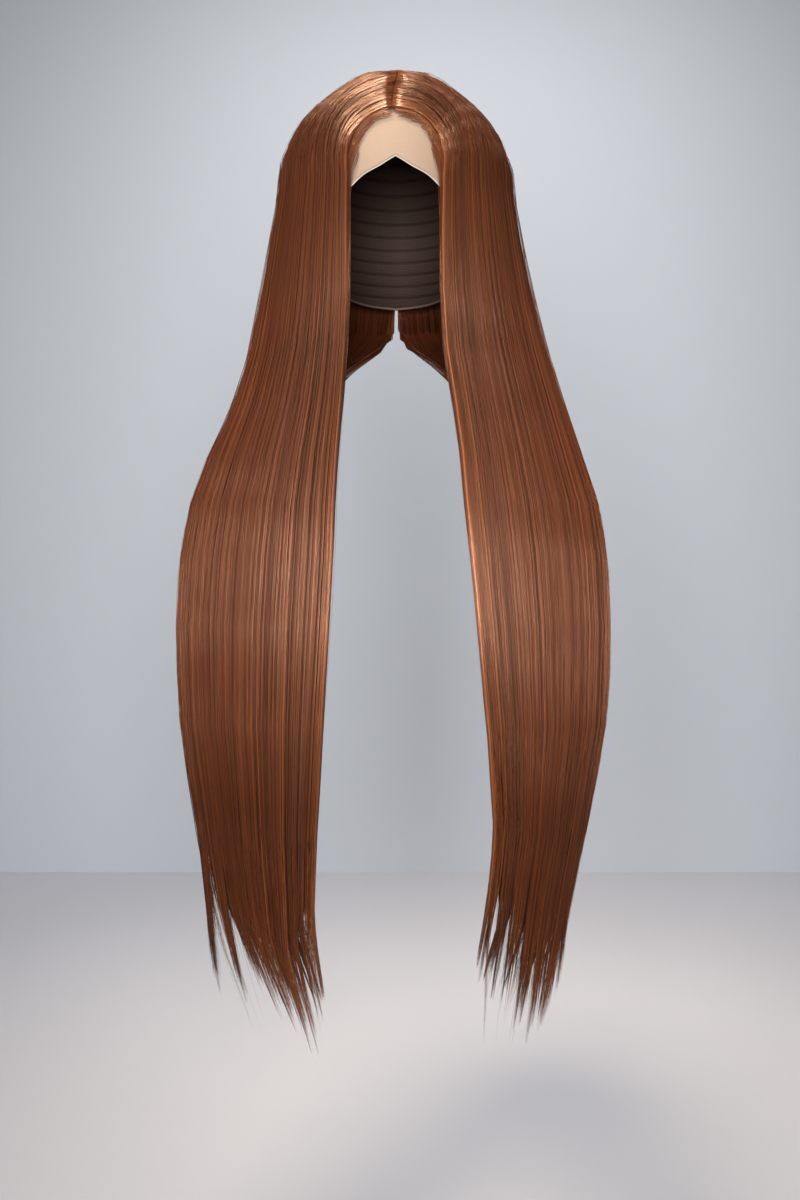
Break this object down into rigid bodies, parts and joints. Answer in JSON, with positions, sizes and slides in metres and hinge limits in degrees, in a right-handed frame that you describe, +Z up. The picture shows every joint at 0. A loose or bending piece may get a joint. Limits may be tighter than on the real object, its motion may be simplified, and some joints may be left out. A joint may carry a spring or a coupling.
{
  "type": "lace front wig",
  "caption": "Long straight wig with a lace front and a centre parting, its hair hanging forward in two pointed curtains.",
  "frame": {"origin": "inside of the cap at the crown, where it rests on top of the head", "axes": "-Y towards the face side, +Z up, +X to the right as seen from the front"},
  "size_m": [0.3585, 0.2382, 0.8525],
  "materials": {
    "lace": "sheer tan net",
    "cap": "dark brown stretch net with wefts",
    "hair": "glossy copper brown straight hair"
  },
  "bodies": {
    "root": {"lace_front": "lace", "weft_cap": "cap", "hair_front_left": "hair", "hair_front_right": "hair", "hair_back_left": "hair", "hair_back_right": "hair"}
  },
  "joints": []
}
